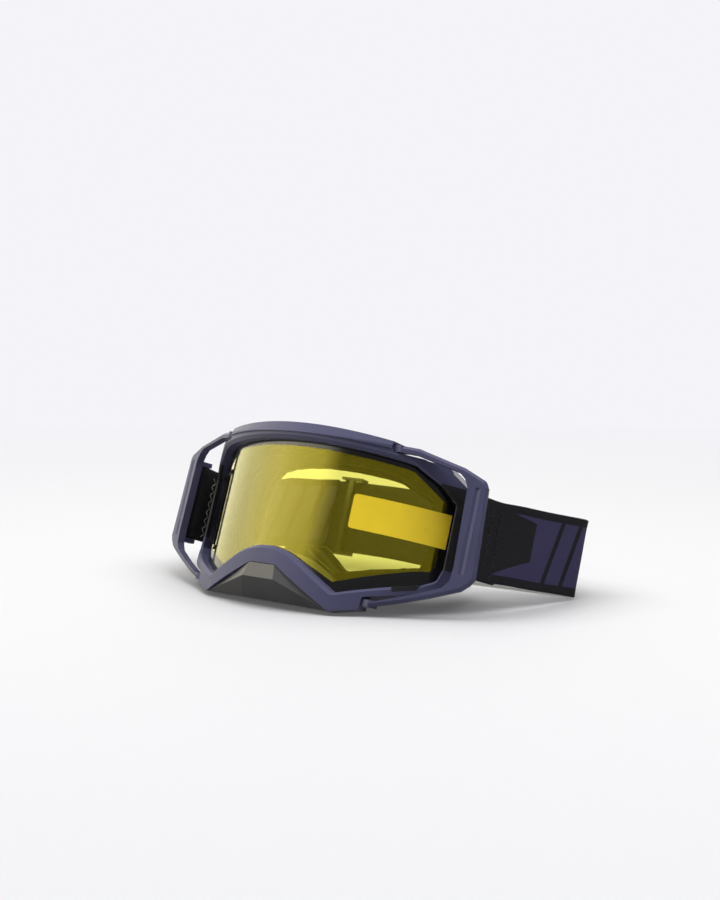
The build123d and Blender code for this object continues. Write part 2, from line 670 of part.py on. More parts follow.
def make_outrigger():
    body = arm_plate()
    for low_z in KNUCKLE_LOWS:
        body = body + Pos(0, 0, low_z) * extrude(eye_blend(), KNUCKLE_HEIGHT)
        eye = Cylinder(EYE_RADIUS, KNUCKLE_HEIGHT)
        body = body + Pos(HINGE_X, HINGE_Y, low_z + KNUCKLE_HEIGHT / 2) * eye
    x, y = strap_bar_spot()
    half = STRAP_WIDTH / 2 + SLOT_SIDE_GAP
    ear_depth = STRAP_BAR_GAP + 2 * STRAP_BAR_RADIUS + 1.0
    for side in (-1, 1):
        ear_x, ear_y = arm_frame(-STRAP_BAR_IN, ARM_THICK - 0.5 + ear_depth / 2)
        ear = Pos(ear_x, ear_y, STRAP_Z + side * (half + EAR_THICK / 2)) * Rot(0, 0, ARM_ANGLE)
        body = body + ear * Box(EAR_WIDTH, ear_depth + 0.4, EAR_THICK)
    body = body + Pos(x, y, STRAP_Z) * Cylinder(STRAP_BAR_RADIUS, 2 * half + 1.0)
    return body - Pos(HINGE_X, HINGE_Y, 0) * Cylinder(PIN_RADIUS + PIN_CLEARANCE, TALL)


def swing_pocket():
    """Room for the hinge eyes over their swing, and for the arms where they swing back furthest."""
    swung = Pos(HINGE_X, HINGE_Y, 0) * Rot(0, 0, SWING_OUT) * Pos(-HINGE_X, -HINGE_Y, 0)
    pocket = swung * arm_plate(MOVE_CLEARANCE)
    half = EYE_RADIUS + 2 * MOVE_CLEARANCE
    slot = Box(half + EYE_REACH + 1.0, 2 * half, KNUCKLE_HEIGHT + 2 * MOVE_CLEARANCE)
    for low_z in KNUCKLE_LOWS:
        middle_x = HINGE_X + (EYE_REACH + 1.0 - half) / 2
        pocket = pocket + Pos(middle_x, HINGE_Y, low_z + KNUCKLE_HEIGHT / 2) * slot
    return pocket


def make_pin(low_z, high_z):
    return Pos(HINGE_X, HINGE_Y, (low_z + high_z) / 2) * Cylinder(PIN_RADIUS, high_z - low_z)


# ---------------------------------------------------------------- strap
def ribbon(points, thick, width):
    """A flat strap standing on edge along points of its middle."""
    sections = []
    for index, point in enumerate(points):
        before = points[max(index - 1, 0)]
        after = points[min(index + 1, len(points) - 1)]
        run = Vector(after[0] - before[0], after[1] - before[1], 0).normalized()
        plane = Plane(origin=point, x_dir=(-run.Y, run.X, 0), z_dir=run)
        sections.append(plane * Rectangle(thick, width))
    return loft(sections, ruled=True)


def heading(angle):
    return Vector(cos(radians(angle)), sin(radians(angle)), 0)


def bar_centre(side):
    x, y = strap_bar_spot()
    return Vector(side * x, y, 0)


def make_strap_end(side, angle):
    """Sewn end: the webbing goes round the strap bar and is stitched to itself."""
    centre = bar_centre(side) + Vector(0, 0, STRAP_Z)
    inner = STRAP_BAR_RADIUS + LOOP_CLEARANCE
    outer = inner + STRAP_THICK
    loop = Pos(*centre) * (Cylinder(outer, STRAP_WIDTH) - Cylinder(inner, STRAP_WIDTH))
    tab_start = sqrt(outer ** 2 - STRAP_THICK ** 2) - 0.1
    tab_length = SEWN_REACH - tab_start
    tab_middle = centre + heading(angle) * (tab_start + tab_length / 2)
    tab = Pos(*tab_middle) * Rot(0, 0, angle) * Box(tab_length, 2 * STRAP_THICK, STRAP_WIDTH)
    return loop + tab


def off_bar(side, angle, reach, z):
    """Route point at a distance from a strap bar, along its sewn end's heading."""
    spot = bar_centre(side) + heading(angle) * reach
    return (spot.X, spot.Y, z)


def bend(centre, radius, turn, heights, steps=6):
    """Points round an upright bend, from one angle about its centre to another."""
    points = []
    for step in range(steps + 1):
        part = step / steps
        angle = radians(turn[0] + (turn[1] - turn[0]) * part)
        z = heights[0] + (heights[1] - heights[0]) * part
        points.append((centre[0] + radius * cos(angle), centre[1] + radius * sin(angle), z))
    return points


def run_point(along, across=0.0, z=RUN_Z):
    """Point of the rear run: distance from the slider, then distance off the strap's middle."""
    direction = heading(RUN_ANGLE)
    return (SLIDER_X + along * direction.X - across * direction.Y,
            SLIDER_Y + along * direction.Y + across * direction.X, z)


def left_bend_centre():
    """Centre of the bend that touches both the left side run and the rear run."""
    side = Vector(sin(radians(LEFT_STRAP_ANGLE)), -cos(radians(LEFT_STRAP_ANGLE)), 0)
    rear = Vector(sin(radians(RUN_ANGLE)), -cos(radians(RUN_ANGLE)), 0)
    start = bar_centre(-1) + side * LEFT_BEND_RADIUS
    gap = LEFT_BEND_RADIUS - (start - Vector(SLIDER_X, SLIDER_Y, 0)).dot(rear)
    return start + heading(LEFT_STRAP_ANGLE) * (gap / heading(LEFT_STRAP_ANGLE).dot(rear))


def left_route(inset):
    """From the ring round the left rear bend to the rear run, moved towards the head by inset."""
    start = off_bar(-1, LEFT_STRAP_ANGLE, RING_REACH + RING_LENGTH / 2 + STRAP_CLEARANCE, RING_Z)
    start = (start[0] + inset, start[1], start[2])
    centre = left_bend_centre()
    turn = (LEFT_STRAP_ANGLE + 90.0, RUN_ANGLE + 90.0)
    curve = bend((centre.X, centre.Y), LEFT_BEND_RADIUS - inset, turn, (LEFT_BEND_Z, RUN_Z))
    return [start] + curve + [run_point(-SLIDER_LENGTH / 2 - SLIDER_TRAVEL_IN - 0.5, -inset)]


def make_strap_main():
    """Long strap: from the ring through the slider, round the rear bend, to the right outrigger."""
    corner = bend(CORNER_CENTRE, CORNER_RADIUS, (94.0, -17.0), (CORNER_Z, CORNER_Z))
    tip = off_bar(1, RIGHT_STRAP_ANGLE, SEWN_REACH + STRAP_CLEARANCE, STRAP_Z + TIP_RISE)
    run = [run_point(SLIDER_TRAVEL_OUT + SLIDER_LENGTH), run_point(RUN_LENGTH, 0.0, CORNER_Z + 0.6)]
    return ribbon(left_route(0.0) + run + corner + [tip], STRAP_THICK, STRAP_WIDTH)


def make_strap_return():
    """The doubled layer from the ring back to the slider, on the face side of the long strap."""
    return ribbon(left_route(STRAP_THICK + SLIDER_GAP), STRAP_THICK, STRAP_WIDTH)


def make_strap_short():
    """Short doubled strap between the left sewn end and the ring."""
    start = off_bar(-1, LEFT_STRAP_ANGLE, SEWN_REACH + STRAP_CLEARANCE, STRAP_Z - 0.4)
    end = off_bar(-1, LEFT_STRAP_ANGLE, RING_START - STRAP_CLEARANCE, RING_Z - 0.6)
    return ribbon([start, end], 2 * STRAP_THICK, SHORT_WIDTH)


def make_ring():
    """Rectangular loop that joins the two straps."""
    tall = STRAP_WIDTH + 2 * (SLOT_SIDE_GAP + SLIDER_RIM)
    window = Box(RING_LENGTH - 2 * RING_BAR, 2 * RING_BAR, STRAP_WIDTH + 2 * SLOT_SIDE_GAP)
    frame = Box(RING_LENGTH, RING_BAR, tall) - window
    frame = chamfer(frame.edges().filter_by(Axis.Y), SLIDER_RIM / 3)
    return Pos(*off_bar(-1, LEFT_STRAP_ANGLE, RING_REACH, RING_Z)) * Rot(0, 0, LEFT_STRAP_ANGLE) * frame


def make_slider():
    """Three-bar slider: end bars behind the strap, the centre bar in front of it."""
    tall = STRAP_WIDTH + 2 * (SLOT_SIDE_GAP + SLIDER_RIM)
    gap = STRAP_THICK / 2 + SLIDER_GAP
    back = gap + SLIDER_BAR_THICK
    body = Pos(0, -(gap + back) / 2, 0) * Box(SLIDER_BAR, SLIDER_BAR_THICK, tall)
    for side in (-1, 1):
        body = body + Pos(0, 0, side * (tall - SLIDER_RIM) / 2) * Box(SLIDER_LENGTH, 2 * back, SLIDER_RIM)
        end = Pos(side * (SLIDER_LENGTH - SLIDER_BAR) / 2, (gap + back) / 2, 0)
        body = body + end * Box(SLIDER_BAR, SLIDER_BAR_THICK, tall)
    return Pos(*run_point(0.0)) * Rot(0, 0, RUN_ANGLE) * body


# ---------------------------------------------------------------- assembly
def mirror_x(shape):
    return mirror(shape, about=Plane.YZ)


def shell_pieces():
    """Frame, bar, bands and badge, cut for the hinges."""
    pocket = swing_pocket()
    room = pocket + mirror_x(pocket)
    for pin_x in (-HINGE_X, HINGE_X):
        room = room + Pos(pin_x, HINGE_Y, 0) * Cylinder(PIN_RADIUS + PIN_FIT, TALL)
    rim = make_rim()
    return {
        "front_frame": make_front_frame(rim) - room,
        "brow_bar": make_brow_bar() - room,
        "side_band_right": make_side_band(rim, 1) - room,
        "side_band_left": make_side_band(rim, -1) - room,
        "rim_badge": make_badge(),
    }


def upright_pieces():
    outrigger = make_outrigger()
    upper_pin = make_pin(KNUCKLE_TOP_Z - KNUCKLE_HEIGHT - PIN_ROOT, KNUCKLE_TOP_Z + PIN_GRIP)
    lower_pin = make_pin(KNUCKLE_LOW_Z - KNUCKLE_HEIGHT - PIN_GRIP, KNUCKLE_LOW_Z + PIN_ROOT)
    core_r = FACE_RADIUS + FOAM_FACE
    pieces = shell_pieces()
    pieces.update({
        "inner_frame": make_inner_frame(),
        "lens": make_lens(),
        "lens_seal": make_seal(),
        "lens_label": make_label(),
        "nose_guard": make_nose_guard(),
        "outrigger_right": outrigger,
        "outrigger_left": mirror_x(outrigger),
        "hinge_pin_upper_right": upper_pin,
        "hinge_pin_upper_left": mirror_x(upper_pin),
        "hinge_pin_lower_right": lower_pin,
        "hinge_pin_lower_left": mirror_x(lower_pin),
        "foam_base": foam_layer(core_r + FOAM_CORE, FOAM_BASE, 0.0, 0.3, PORT_FLARE),
        "foam_core": foam_layer(core_r, FOAM_CORE, CORE_GROW, 0.1, PORT_FLARE / 2),
        "foam_face": foam_layer(FACE_RADIUS, FOAM_FACE, 0.0, 0.0, 0.0, PORT_ROUND),
        "vent_foam": make_vent_foam(),
        "strap_end_right": make_strap_end(1, RIGHT_STRAP_ANGLE),
        "strap_end_left": make_strap_end(-1, LEFT_STRAP_ANGLE),
        "strap_main": make_strap_main(),
        "strap_short": make_strap_short(),
        "strap_return": make_strap_return(),
        "strap_ring": make_ring(),
        "strap_slider": make_slider(),
    })
    return pieces


def main():
    leaned = {name: Rot(-LEAN, 0, 0) * shape for name, shape in upright_pieces().items()}
    box = Compound(children=[Compound(shape.solids()) for shape in leaned.values()]).bounding_box()
    shift = Pos(-(box.min.X + box.max.X) / 2, -(box.min.Y + box.max.Y) / 2, -box.min.Z)
    for name, shape in leaned.items():
        placed = shift * shape
        export_step(placed, f"parts/{name}.step")
        size = placed.bounding_box().size
        print(f"{name}: {len(placed.solids())} solids, {placed.volume:.0f} mm3, "
              f"{size.X:.1f} x {size.Y:.1f} x {size.Z:.1f} mm, valid {placed.is_valid}")
    print(f"shift {shift.position}, size {box.size}")


main()
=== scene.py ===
"""Sports protective goggles: straps, foam, stitching, materials and studio, made round the fixed frame."""
import json
import math

import bmesh
import bpy
from bpy.props import FloatProperty, FloatVectorProperty, PointerProperty
from mathutils import Matrix, Vector, noise


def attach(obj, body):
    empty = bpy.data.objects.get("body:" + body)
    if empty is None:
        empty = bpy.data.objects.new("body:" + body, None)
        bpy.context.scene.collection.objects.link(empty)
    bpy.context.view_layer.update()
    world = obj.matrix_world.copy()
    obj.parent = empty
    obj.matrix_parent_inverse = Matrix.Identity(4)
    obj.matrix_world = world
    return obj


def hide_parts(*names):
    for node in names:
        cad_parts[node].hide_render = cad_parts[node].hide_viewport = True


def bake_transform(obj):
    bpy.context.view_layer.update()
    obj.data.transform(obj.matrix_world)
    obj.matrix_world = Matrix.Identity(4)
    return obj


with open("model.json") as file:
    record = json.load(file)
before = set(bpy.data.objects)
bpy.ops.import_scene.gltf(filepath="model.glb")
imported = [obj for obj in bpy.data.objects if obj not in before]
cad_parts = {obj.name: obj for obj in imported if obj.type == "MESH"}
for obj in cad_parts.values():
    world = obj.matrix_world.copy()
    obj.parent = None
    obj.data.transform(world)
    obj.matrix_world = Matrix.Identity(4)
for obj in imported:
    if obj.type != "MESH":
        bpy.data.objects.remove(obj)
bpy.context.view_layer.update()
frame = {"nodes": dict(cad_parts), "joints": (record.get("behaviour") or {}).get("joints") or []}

bl_info = {
    "name": "Sports goggles dresser",
    "version": (1, 0, 0),
    "blender": (4, 5, 0),
    "location": "View3D > Sidebar > Goggles",
    "description": "Adds webbing, foam, stitching, finishes and a studio to the goggles' fixed frame",
    "category": "Object",
}

JOINTS = {joint["name"]: joint for joint in frame["joints"]}
MM = 0.001

# The goggles are drawn upright, in millimetres, and lean back together on the table.
LEAN_DEGREES = 19.9
HINGE_UPRIGHT = (49.0, 11.205, 4.05)
LEANED = Matrix.Rotation(math.radians(-LEAN_DEGREES), 4, "X")
HINGE_PLACED = Vector(JOINTS["outrigger_right_swing"]["pos_m"])
UPRIGHT = Matrix.Translation(HINGE_PLACED - LEANED @ (Vector(HINGE_UPRIGHT) * MM)) @ LEANED

# The bright half of the studio, a painted reflection glow that only glossy rays see, ends this far to the
# wearer's right of straight ahead.
EDGE = math.radians(12.0)

# The clear part of the lens: heights of its upper and lower edge over the distance from the middle,
# upright millimetres, drawn in a square this wide
CURVE_SPAN = 100.0
CLEAR_TOP = ((0, 35.6), (20, 35.3), (40, 34.2), (57, 32.8), (60.7, 32.0), (67.6, 26.0), (74, 20.0),
             (74.6, -49.0), (100, -50.0))
CLEAR_LOW = ((0, -16.1), (10, -17.5), (20, -21.7), (35.8, -29.1), (68.4, -15.6), (72.6, -14.6),
             (74, -12.0), (100, 45.0))

# The dark band across each side strut of the front frame, upright metres: the lens axis behind the
# frame, the least distance from it, from the middle, and the band's heights
LENS_AXIS = 0.092
BAND_FRONT = 0.0980
BAND_SIDE = 0.0735
BAND_LOW = -0.012
BAND_TOP = 0.0285

# Strap route in plan, upright millimetres
STRAP_BAR = (92.49, 33.16)
STRAP_BAR_Z = 5.8
LOOP_RADIUS = 2.72
LAYER = 0.80
TAB_LENGTH = 18.6
RIGHT_HEADING = 73.0
LEFT_HEADING = 87.0
RUN_START = (-33.0, 91.8)
RUN_HEADING = 4.9
RUN_Z = 17.3
INSET = 1.95
RING_BARS = (26.2, 35.8)
RING_Z = 7.4
RING_LOOP = 2.5
CORNER = (108.0, 97.9)
CORNER_RADIUS = 6.0
CORNER_Z = 11.6
LEFT_BAR = (-STRAP_BAR[0], STRAP_BAR[1])
LEFT_BEND = (-73.47, 71.27)
LEFT_BEND_RADIUS = 17.0
LEFT_BEND_Z = 9.4

# Grid of the webbing: its step along the strap in millimetres, its rows across, and how far in
# millimetres the edges curl
STRAP_STEP = 1.1
STRAP_ROWS = 20
STRAP_CURL = 0.35

# Zigzag rows on a tab, millimetres: their distances from the bar, half their width and the gap that
# keeps the thread on the webbing
STITCH_ROWS = (7.2, 13.0)
STITCH_SWING = 1.3
STITCH_LIFT = 0.14
STITCH_MARGIN = 2.0


# ------------------------------------------------------------------------------ sizes and colours
class GogglesSizes(bpy.types.PropertyGroup):
    strap_width: FloatProperty(name="Strap width", description="Width of the long strap",
                               default=0.040, unit="LENGTH")
    short_width: FloatProperty(name="Short strap width",
                               description="Width of the short strap past its sewn end",
                               default=0.0355, unit="LENGTH")
    strap_thick: FloatProperty(name="Webbing thickness", description="Thickness of one layer of webbing",
                               default=0.00145, unit="LENGTH")
    rib_pitch: FloatProperty(name="Rib pitch", description="Distance between the webbing's lengthwise ribs",
                             default=0.0009, unit="LENGTH")
    stitch_pitch: FloatProperty(name="Stitch pitch", description="Length of one stitch of a seam",
                                default=0.0024, unit="LENGTH")
    thread: FloatProperty(name="Thread", description="Diameter of the sewing thread",
                          default=0.00042, unit="LENGTH")
    print_margin: FloatProperty(name="Print margin", description="Plain edge left beside the strap's print",
                                default=0.0042, unit="LENGTH")


class GogglesColours(bpy.types.PropertyGroup):
    shell: FloatVectorProperty(name="Shell", description="Moulded nylon of frame and outriggers",
                               default=(0.058, 0.058, 0.112), subtype="COLOR")
    guard: FloatVectorProperty(name="Nose guard", description="Moulded nose guard",
                               default=(0.044, 0.044, 0.048), subtype="COLOR")
    rubber: FloatVectorProperty(name="Inner frame", description="Soft inner frame and border",
                                default=(0.016, 0.016, 0.018), subtype="COLOR")
    lens: FloatVectorProperty(name="Lens", description="Tint of the lens",
                              default=(0.97, 0.92, 0.18), subtype="COLOR")
    lens_sheen: FloatVectorProperty(name="Lens sheen", description="Colour of the lens coating's reflection",
                                    default=(1.0, 0.86, 0.13), subtype="COLOR")
    label: FloatVectorProperty(name="Label", description="Blank film label on the lens",
                               default=(0.80, 0.58, 0.022), subtype="COLOR")
    webbing: FloatVectorProperty(name="Webbing", description="Elastic webbing",
                                 default=(0.0125, 0.0125, 0.0150), subtype="COLOR")
    motif: FloatVectorProperty(name="Print", description="Raised print on the webbing",
                               default=(0.036, 0.032, 0.080), subtype="COLOR")
    thread: FloatVectorProperty(name="Thread", description="Sewing thread",
                                default=(0.55, 0.55, 0.52), subtype="COLOR")
    backdrop: FloatVectorProperty(name="Backdrop", description="Floor and background",
                                  default=(0.913, 0.905, 0.947), subtype="COLOR")


def sizes():
    return bpy.context.scene.goggles_sizes


def colours():
    return bpy.context.scene.goggles_colours


# ------------------------------------------------------------------------------ shader maths
class Wire:
    """A shader value that adds Math nodes when it is used in an expression."""

    def __init__(self, finish, socket):
        self.finish = finish
        self.socket = socket

    def math(self, operation, *others, first=False):
        values = [*others, self] if first else [self, *others]
        return self.finish.node("ShaderNodeMath", {"operation": operation}, *values)

    def __add__(self, other):
        return self.math("ADD", other)

    def __radd__(self, other):
        return self.math("ADD", other, first=True)

    def __sub__(self, other):
        return self.math("SUBTRACT", other)

    def __rsub__(self, other):
        return self.math("SUBTRACT", other, first=True)

    def __mul__(self, other):
        return self.math("MULTIPLY", other)

    def __rmul__(self, other):
        return self.math("MULTIPLY", other, first=True)

    def __truediv__(self, other):
        return self.math("DIVIDE", other)

    def __abs__(self):
        return self.math("ABSOLUTE")

    def above(self, level, soft=0.0002):
        """0 below the level, 1 above it, with a soft step."""
        return self.span(level - soft, level + soft)

    def span(self, low, high):
        """0 at low, 1 at high, clamped between."""
        return self.finish.node("ShaderNodeMapRange", {"clamp": True}, self, low, high, 0.0, 1.0)

    def wave(self, pitch):
        """A wave from -1 to 1 with this pitch."""
        return (self * (2 * math.pi / pitch)).math("SINE")

    def cell(self, pitch):
        """Distance inside the present cell of this pitch, from 0 to 1."""
        return (self / pitch).math("FRACT")


class Finish:
    """A node material, with one method that adds any node."""

    def __init__(self, name):
        self.material = bpy.data.materials.new(name)
        self.material.use_nodes = True
        self.nodes = self.material.node_tree.nodes
        self.links = self.material.node_tree.links
        self.nodes.clear()
        self.output = self.nodes.new("ShaderNodeOutputMaterial")

    def node(self, kind, settings=None, *values, out=0, **named):
        """Adds a node: its settings first, then its sockets by order or by name."""
        made = self.nodes.new(kind)
        for key, value in (settings or {}).items():
            if key == "points":
                curve = made.mapping.curves[0]
                while len(curve.points) < len(value):
                    curve.points.new(0.5, 0.5)
                for point, place in zip(curve.points, value):
                    point.location = place
                    point.handle_type = "VECTOR"
                made.mapping.update()
            else:
                setattr(made, key, value)
        for spot, value in [*enumerate(values), *named.items()]:
            if value is None:
                continue
            socket = made.inputs[spot if isinstance(spot, int) else spot.replace("_", " ")]
            if isinstance(value, Wire):
                self.links.new(value.socket, socket)
            elif socket.type == "RGBA":
                socket.default_value = (*value, 1.0) if len(value) == 3 else value
            else:
                socket.default_value = value
        return Wire(self, made.outputs[out])

    def place(self):
        """Object coordinates."""
        return self.node("ShaderNodeTexCoord", out=3)

    def split(self, vector):
        """The three numbers of a vector."""
        made = self.node("ShaderNodeSeparateXYZ", None, vector)
        return [Wire(self, socket) for socket in made.socket.node.outputs]

    def upright(self, name):
        """Sideways distance from the middle, depth and height of a CAD node's points, upright metres."""
        placed = UPRIGHT.inverted() @ frame["nodes"][name].matrix_world
        turned = self.node("ShaderNodeMapping", None, self.place(), Location=placed.translation,
                           Rotation=placed.to_euler())
        x, depth, height = self.split(turned)
        return abs(x), depth, height

    def line(self, value, points):
        """A broken line through points in millimetres, as height over distance, in metres."""
        wide = CURVE_SPAN * MM
        places = [(along / CURVE_SPAN, height / CURVE_SPAN + 0.5) for along, height in points]
        return self.node("ShaderNodeFloatCurve", {"points": places}, None, value / wide) * wide - wide / 2

    def noise(self, scale, detail=2.0, rough=0.5):
        return self.node("ShaderNodeTexNoise", None, self.place(), Scale=scale, Detail=detail,
                         Roughness=rough)

    def grains(self, scale):
        return self.node("ShaderNodeTexVoronoi", None, self.place(), Scale=scale)

    def flat(self, name):
        """The two coordinates of the piece's own UV map, in metres."""
        return self.split(self.node("ShaderNodeUVMap", {"uv_map": name}))[:2]

    def mix(self, share, low, high):
        """A colour between two others."""
        made = self.node("ShaderNodeMix", {"data_type": "RGBA"}, share, out=2)
        for index, value in ((6, low), (7, high)):
            socket = made.socket.node.inputs[index]
            if isinstance(value, Wire):
                self.links.new(value.socket, socket)
            else:
                socket.default_value = (*value, 1.0)
        return made

    def bump(self, height, strength, distance):
        return self.node("ShaderNodeBump", None, Strength=strength, Distance=distance, Height=height)

    def principled(self, **values):
        shader = self.node("ShaderNodeBsdfPrincipled", None, **values)
        self.links.new(shader.socket, self.output.inputs[0])
        return self.material


def finish_shell(banded=None):
    """Satin moulded nylon: fine spark grain, flow mottling, rubbed patches; a node may carry side bands."""
    f = Finish("shell_nylon")
    grain = f.noise(5200.0, 3.0, 0.6)
    flow = f.noise(38.0, 3.0)
    rubbed = f.noise(120.0, 4.0, 0.65).span(0.56, 0.72)
    base = colours().shell
    tone = f.mix(flow.span(0.3, 0.7), [c * 0.93 for c in base], [c * 1.07 for c in base])
    tone = f.mix(rubbed * 0.22, tone, [c * 1.35 for c in base])
    rough = 0.44 + flow * 0.08 - rubbed * 0.06
    if banded:
        side, depth, height = f.upright(banded)
        depth = depth - LENS_AXIS
        front = (side * side + depth * depth).math("SQRT").above(BAND_FRONT)
        band = front * side.above(BAND_SIDE) * height.above(BAND_LOW) * (1.0 - height.above(BAND_TOP))
        tone = f.mix(band, tone, tuple(colours().rubber))
        rough = rough + band * 0.18
    return f.principled(Base_Color=tone, Roughness=rough, Specular_IOR_Level=0.25,
                        Normal=f.bump(grain, 0.16, 0.00012))


def finish_guard():
    """Moulded nylon of the nose guard, a little glossier than the shell."""
    f = Finish("guard_nylon")
    grain = f.noise(4200.0, 3.0, 0.6)
    flow = f.noise(55.0, 3.0)
    base = colours().guard
    tone = f.mix(flow.span(0.3, 0.7), [c * 0.88 for c in base], [c * 1.12 for c in base])
    return f.principled(Base_Color=tone, Roughness=0.42 + flow * 0.1, Normal=f.bump(grain, 0.2, 0.00012))


def finish_rubber():
    """Soft matt rubber of the inner frame, the side bands and the badge."""
    f = Finish("inner_rubber")
    grain = f.noise(3600.0, 2.0)
    flow = f.noise(60.0, 3.0)
    base = colours().rubber
    tone = f.mix(flow.span(0.3, 0.7), [c * 0.85 for c in base], [c * 1.25 for c in base])
    return f.principled(Base_Color=tone, Roughness=0.62 + flow * 0.1, Normal=f.bump(grain, 0.25, 0.0001))


def finish_border():
    """Black seal round the lens."""
    f = Finish("lens_border")
    flow = f.noise(300.0, 2.0)
    tone = f.mix(flow, (0.006, 0.006, 0.007), (0.012, 0.012, 0.013))
    return f.principled(Base_Color=tone, Roughness=0.5 + flow * 0.1)


def finish_lens():
    """Tinted, coated polycarbonate with light smears, printed black round its edge."""
    f = Finish("lens_tint")
    smear = f.noise(45.0, 4.0, 0.6).span(0.45, 0.8)
    base = colours().lens
    tone = f.mix(smear * 0.1, base, [min(1.0, c * 1.05) for c in base])
    rough = 0.02 + smear * 0.035
    clear = f.node("ShaderNodeBsdfPrincipled", None, Base_Color=tone, Roughness=rough, IOR=1.8,
                   Transmission_Weight=1.0, Specular_IOR_Level=1.0, Specular_Tint=tuple(colours().lens_sheen))
    black = f.mix(smear, (0.005, 0.005, 0.006), (0.009, 0.009, 0.010))
    border = f.node("ShaderNodeBsdfPrincipled", None, Base_Color=black, Roughness=rough + 0.12)
    side, _, height = f.upright("lens")
    over_low = (height - f.line(side, CLEAR_LOW)).above(0.0)
    over_top = (height - f.line(side, CLEAR_TOP)).above(0.0)
    inside = over_low * (1.0 - over_top)
    mixed = f.node("ShaderNodeMixShader", None, inside, border, clear)
    f.links.new(mixed.socket, f.output.inputs[0])
    return f.material


def finish_label():
    """Smooth film of the blank label."""
    f = Finish("label_film")
    fibre = f.noise(900.0, 2.0)
    flow = f.noise(70.0, 3.0)
    base = colours().label
    tone = f.mix(flow.span(0.3, 0.7), [c * 0.94 for c in base], base)
    return f.principled(Base_Color=tone, Roughness=0.24 + flow * 0.12, Normal=f.bump(fibre, 0.05, 0.0001))


def finish_hardware():
    """Black acetal of the ring and the slider."""
    f = Finish("acetal")
    flow = f.noise(80.0, 3.0)
    grain = f.noise(3000.0, 2.0)
    tone = f.mix(flow, (0.012, 0.012, 0.013), (0.02, 0.02, 0.022))
    return f.principled(Base_Color=tone, Roughness=0.34 + flow * 0.1, Normal=f.bump(grain, 0.12, 0.0001))


def finish_pin():
    """Turned steel of the hinge pins."""
    f = Finish("pin_steel")
    turned = f.noise(900.0, 2.0)
    tone = f.mix(turned, (0.42, 0.42, 0.43), (0.6, 0.6, 0.61))
    return f.principled(Base_Color=tone, Roughness=0.25 + turned * 0.15, Metallic=1.0)


def finish_foam(name, low, high, pore, depth):
    """Open-cell foam: round pores of two sizes."""
    f = Finish(name)
    pores = f.grains(pore)
    fine = f.grains(pore * 2.3)
    # Painted shading: the pores, where the bump sinks, are darker.
    tone = f.mix(pores.span(0.1, 0.6), low, high)
    height = pores + fine * 0.5
    return f.principled(Base_Color=tone, Roughness=0.9, Normal=f.bump(height, 0.7, depth))


def finish_fleece():
    """Brushed fleece: short fibres in tufts."""
    f = Finish("face_fleece")
    tuft = f.noise(900.0, 5.0, 0.7)
    fibre = f.noise(3800.0, 2.0, 0.7)
    # Painted shading: darker between the tufts, where the bump sinks, lighter on their tops.
    tone = f.mix(tuft.span(0.3, 0.7), (0.010, 0.010, 0.012), (0.032, 0.032, 0.038))
    return f.principled(Base_Color=tone, Roughness=0.95, Sheen_Weight=0.35,
                        Normal=f.bump(tuft + fibre * 0.6, 0.8, 0.0004))


def webbing_weave(f, along, across):
    """Height of the elastic webbing: lengthwise ribs, crossed by fine picks."""
    pitch = sizes().rib_pitch
    ribs = abs(across.wave(2 * pitch))
    row = (across / pitch).math("FLOOR")
    picks = (along + row * (0.37 * pitch)).wave(1.35 * pitch)
    return ribs * 0.7 + picks * 0.3


def finish_webbing(name):
    """Plain black elastic webbing."""
    f = Finish(name)
    along, across = f.flat("Flat")
    height = webbing_weave(f, along, across)
    fuzz = f.noise(2400.0, 3.0, 0.7)
    base = colours().webbing
    # Painted shading: the colour follows the weave's height, darker in the valleys between the ribs and
    # lighter on their tops.
    tone = f.mix(height.span(-0.2, 0.9), [c * 0.6 for c in base], [c * 1.5 for c in base])
    tone = f.mix(fuzz.span(0.55, 0.8) * 0.2, tone, [c * 2.2 for c in base])
    return f.principled(Base_Color=tone, Roughness=0.85, Specular_IOR_Level=0.2,
                        Normal=f.bump(height + fuzz * 0.4, 0.55, 0.00025))


def motif_mask(reach, across, margin, half):
    """The print: a plain swallow-tailed block and slanted bars; reach is counted from the sewn end."""
    tail_start, block_end, bar_pitch, bar_gap, slope = 0.036, 0.0482, 0.0122, 0.23, 0.22
    upper_point = across.span(0.013, 0.0165) * 0.0175
    lower_point = (across * -1.0).span(0.0065, 0.0148) * 0.021
    tail = tail_start - upper_point - lower_point
    inside = (1.0 - abs(across).above(half - margin)) * (reach - tail).above(0.0)
    slant = reach - across * slope
    bars = (slant - block_end).cell(bar_pitch).above(bar_gap, 0.015)
    block = 1.0 - slant.above(block_end)
    return inside * (block + bars * (1.0 - block))


def finish_printed(sewn_end):
    """Webbing with the raised print on its outer face; sewn_end is the flat length at the strap bar."""
    f = Finish("webbing_printed")
    along, across = f.flat("Flat")
    weave = webbing_weave(f, along, across)
    fuzz = f.noise(2400.0, 3.0, 0.7)
    half = sizes().strap_width / 2
    reach = sewn_end - along
    mask = motif_mask(reach, across, sizes().print_margin, half)
    base = colours().webbing
    ink = colours().motif
    # Painted shading: the cloth's colour follows the weave's height, darker in the valleys between the ribs
    # and lighter on their tops.
    cloth = f.mix(weave.span(-0.2, 0.9), [c * 0.7 for c in base], [c * 1.35 for c in base])
    inked = f.mix(fuzz.span(0.3, 0.7), [c * 0.88 for c in ink], [c * 1.14 for c in ink])
    height = (weave + fuzz * 0.3) * (1.0 - mask * 0.8) * 0.35 + mask * 1.6
    return f.principled(Base_Color=f.mix(mask, cloth, inked), Roughness=0.84 - mask * 0.24,
                        Specular_IOR_Level=0.25, Normal=f.bump(height, 0.55, 0.00045))


